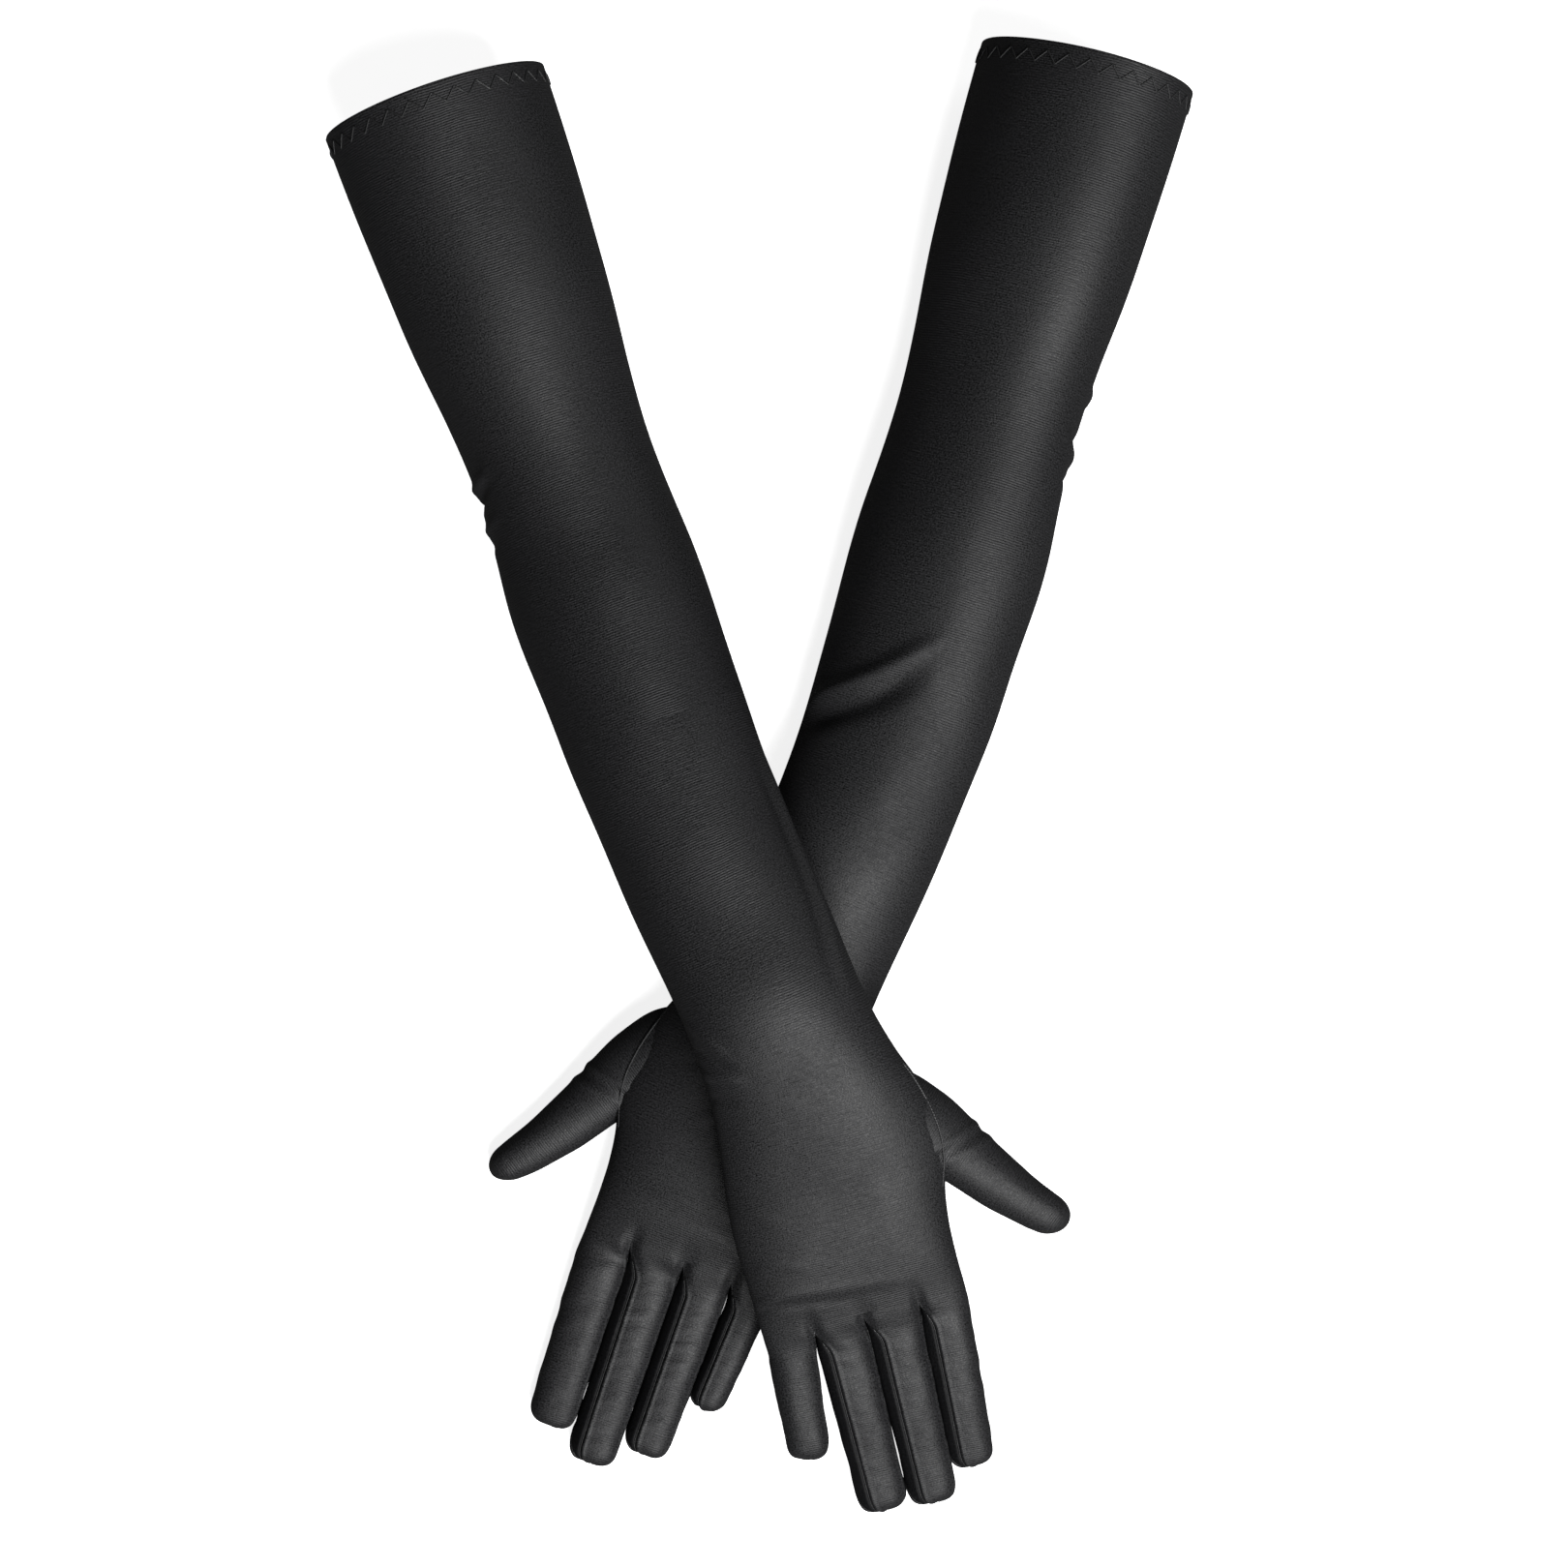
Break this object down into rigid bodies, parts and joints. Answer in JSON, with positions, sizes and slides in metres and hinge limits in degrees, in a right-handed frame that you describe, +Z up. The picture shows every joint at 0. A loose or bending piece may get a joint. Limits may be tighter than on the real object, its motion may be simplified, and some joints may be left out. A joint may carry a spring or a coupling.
{
  "type": "opera gloves",
  "caption": "Pair of long satin opera gloves with set-in thumbs and side strips in the fingers, lying crossed at the wrists.",
  "frame": {"origin": "on the floor under the middle of the crossed pair", "axes": "+Z up, the side of the backs of the hands; +Y from the fingertips to the arm openings; +X towards the thumb of the upper, right-hand glove"},
  "size_m": [0.3196, 0.5592, 0.0893],
  "materials": {
    "satin": "black stretch satin",
    "thread": "black sewing thread"
  },
  "bodies": {
    "left_upper": {"left_sleeve_upper": "satin", "left_cuff_hem": "satin", "left_hem_stitches": "thread", "left_side_seam_upper": "thread"},
    "left_forearm": {"left_sleeve_forearm": "satin", "left_elbow_stretch": "satin", "left_wrist_stretch": "satin", "left_side_seam_forearm": "thread"},
    "left_hand": {"left_hand_panel": "satin", "left_thumb_base": "satin", "left_thumb_seam_ridge": "thread", "left_knuckle_band": "satin"},
    "left_thumb_digit": {"left_thumb": "satin"},
    "left_index_finger": {"left_index_panel": "satin", "left_fourchette_index_outer_side": "satin", "left_index_seam_ridges": "thread"},
    "left_middle_finger": {"left_middle_back": "satin", "left_middle_palm": "satin", "left_fourchette_middle_thumb_side": "satin", "left_fourchette_middle_outer_side": "satin", "left_middle_seam_ridges": "thread"},
    "left_ring_finger": {"left_ring_back": "satin", "left_ring_palm": "satin", "left_fourchette_ring_thumb_side": "satin", "left_fourchette_ring_outer_side": "satin", "left_ring_seam_ridges": "thread"},
    "left_little_finger": {"left_little_panel": "satin", "left_fourchette_little_thumb_side": "satin", "left_little_seam_ridges": "thread"},
    "right_upper": {"right_sleeve_upper": "satin", "right_cuff_hem": "satin", "right_hem_stitches": "thread", "right_side_seam_upper": "thread"},
    "right_forearm": {"right_sleeve_forearm": "satin", "right_elbow_stretch": "satin", "right_wrist_stretch": "satin", "right_side_seam_forearm": "thread"},
    "right_hand": {"right_hand_panel": "satin", "right_thumb_base": "satin", "right_thumb_seam_ridge": "thread", "right_knuckle_band": "satin"},
    "right_thumb_digit": {"right_thumb": "satin"},
    "right_index_finger": {"right_index_panel": "satin", "right_fourchette_index_outer_side": "satin", "right_index_seam_ridges": "thread"},
    "right_middle_finger": {"right_middle_back": "satin", "right_middle_palm": "satin", "right_fourchette_middle_thumb_side": "satin", "right_fourchette_middle_outer_side": "satin", "right_middle_seam_ridges": "thread"},
    "right_ring_finger": {"right_ring_back": "satin", "right_ring_palm": "satin", "right_fourchette_ring_thumb_side": "satin", "right_fourchette_ring_outer_side": "satin", "right_ring_seam_ridges": "thread"},
    "right_little_finger": {"right_little_panel": "satin", "right_fourchette_little_thumb_side": "satin", "right_little_seam_ridges": "thread"}
  },
  "joints": [
    {"name": "left_elbow_bend", "type": "hinge", "parent": "left_forearm", "child": "left_upper", "pos_m": [0.08267, 0.13344, 0.03063], "axis": [0, 0, 1], "range_deg": [0, 70], "deforming": ["left_elbow_stretch"]},
    {"name": "left_wrist_drop", "type": "hinge", "parent": "left_forearm", "child": "left_hand", "pos_m": [0.01375, -0.07505, 0.02113], "axis": [0.91, -0.4147, 0], "range_deg": [0, 60], "deforming": ["left_wrist_stretch"]},
    {"name": "left_index_curl", "type": "hinge", "parent": "left_hand", "child": "left_index_finger", "pos_m": [-0.05622, -0.17832, 0.00063], "axis": [0.961, -0.2767, 0], "range_deg": [0, 80], "deforming": ["left_knuckle_band"]},
    {"name": "left_middle_curl", "type": "hinge", "parent": "left_hand", "child": "left_middle_finger", "pos_m": [-0.03789, -0.18499, 0.00063], "axis": [0.953, -0.3029, 0], "range_deg": [0, 80]},
    {"name": "left_ring_curl", "type": "hinge", "parent": "left_hand", "child": "left_ring_finger", "pos_m": [-0.01957, -0.19166, 0.00063], "axis": [0.9498, -0.3129, 0], "range_deg": [0, 80]},
    {"name": "left_little_curl", "type": "hinge", "parent": "left_hand", "child": "left_little_finger", "pos_m": [-0.00124, -0.19833, 0.00063], "axis": [0.9518, -0.3068, 0], "range_deg": [0, 80]},
    {"name": "left_thumb_swing", "type": "hinge", "parent": "left_hand", "child": "left_thumb_digit", "pos_m": [-0.0537, -0.11846, 0.01013], "axis": [0, 0, 1], "range_deg": [-20, 25], "deforming": ["left_thumb_base"]},
    {"name": "right_elbow_bend", "type": "hinge", "parent": "right_forearm", "child": "right_upper", "pos_m": [-0.07278, 0.11548, 0.03063], "axis": [0, 0, -1], "range_deg": [0, 70], "deforming": ["right_elbow_stretch"]},
    {"name": "right_wrist_raise", "type": "hinge", "parent": "right_forearm", "child": "right_hand", "pos_m": [0.00815, -0.08895, 0.06763], "axis": [-0.9272, -0.3746, 0], "range_deg": [0, 50], "deforming": ["right_wrist_stretch"]},
    {"name": "right_index_curl", "type": "hinge", "parent": "right_hand", "child": "right_index_finger", "pos_m": [0.06947, -0.19771, 0.02313], "axis": [0.9814, 0.1919, 0], "range_deg": [0, 80], "deforming": ["right_knuckle_band"]},
    {"name": "right_middle_curl", "type": "hinge", "parent": "right_hand", "child": "right_middle_finger", "pos_m": [0.05063, -0.20276, 0.02313], "axis": [0.9758, 0.2186, 0], "range_deg": [0, 80]},
    {"name": "right_ring_curl", "type": "hinge", "parent": "right_hand", "child": "right_ring_finger", "pos_m": [0.0318, -0.20781, 0.02313], "axis": [0.9734, 0.2289, 0], "range_deg": [0, 80]},
    {"name": "right_little_curl", "type": "hinge", "parent": "right_hand", "child": "right_little_finger", "pos_m": [0.01296, -0.21285, 0.02313], "axis": [0.9749, 0.2227, 0], "range_deg": [0, 80]},
    {"name": "right_thumb_swing", "type": "hinge", "parent": "right_hand", "child": "right_thumb_digit", "pos_m": [0.07218, -0.13786, 0.04532], "axis": [0, 0, -1], "range_deg": [-20, 25], "deforming": ["right_thumb_base"]},
    {"name": "right_glove_lift", "type": "slide", "parent": "left_forearm", "child": "right_forearm", "axis": [0, 0, 1], "range_m": [0, 0.15]}
  ]
}
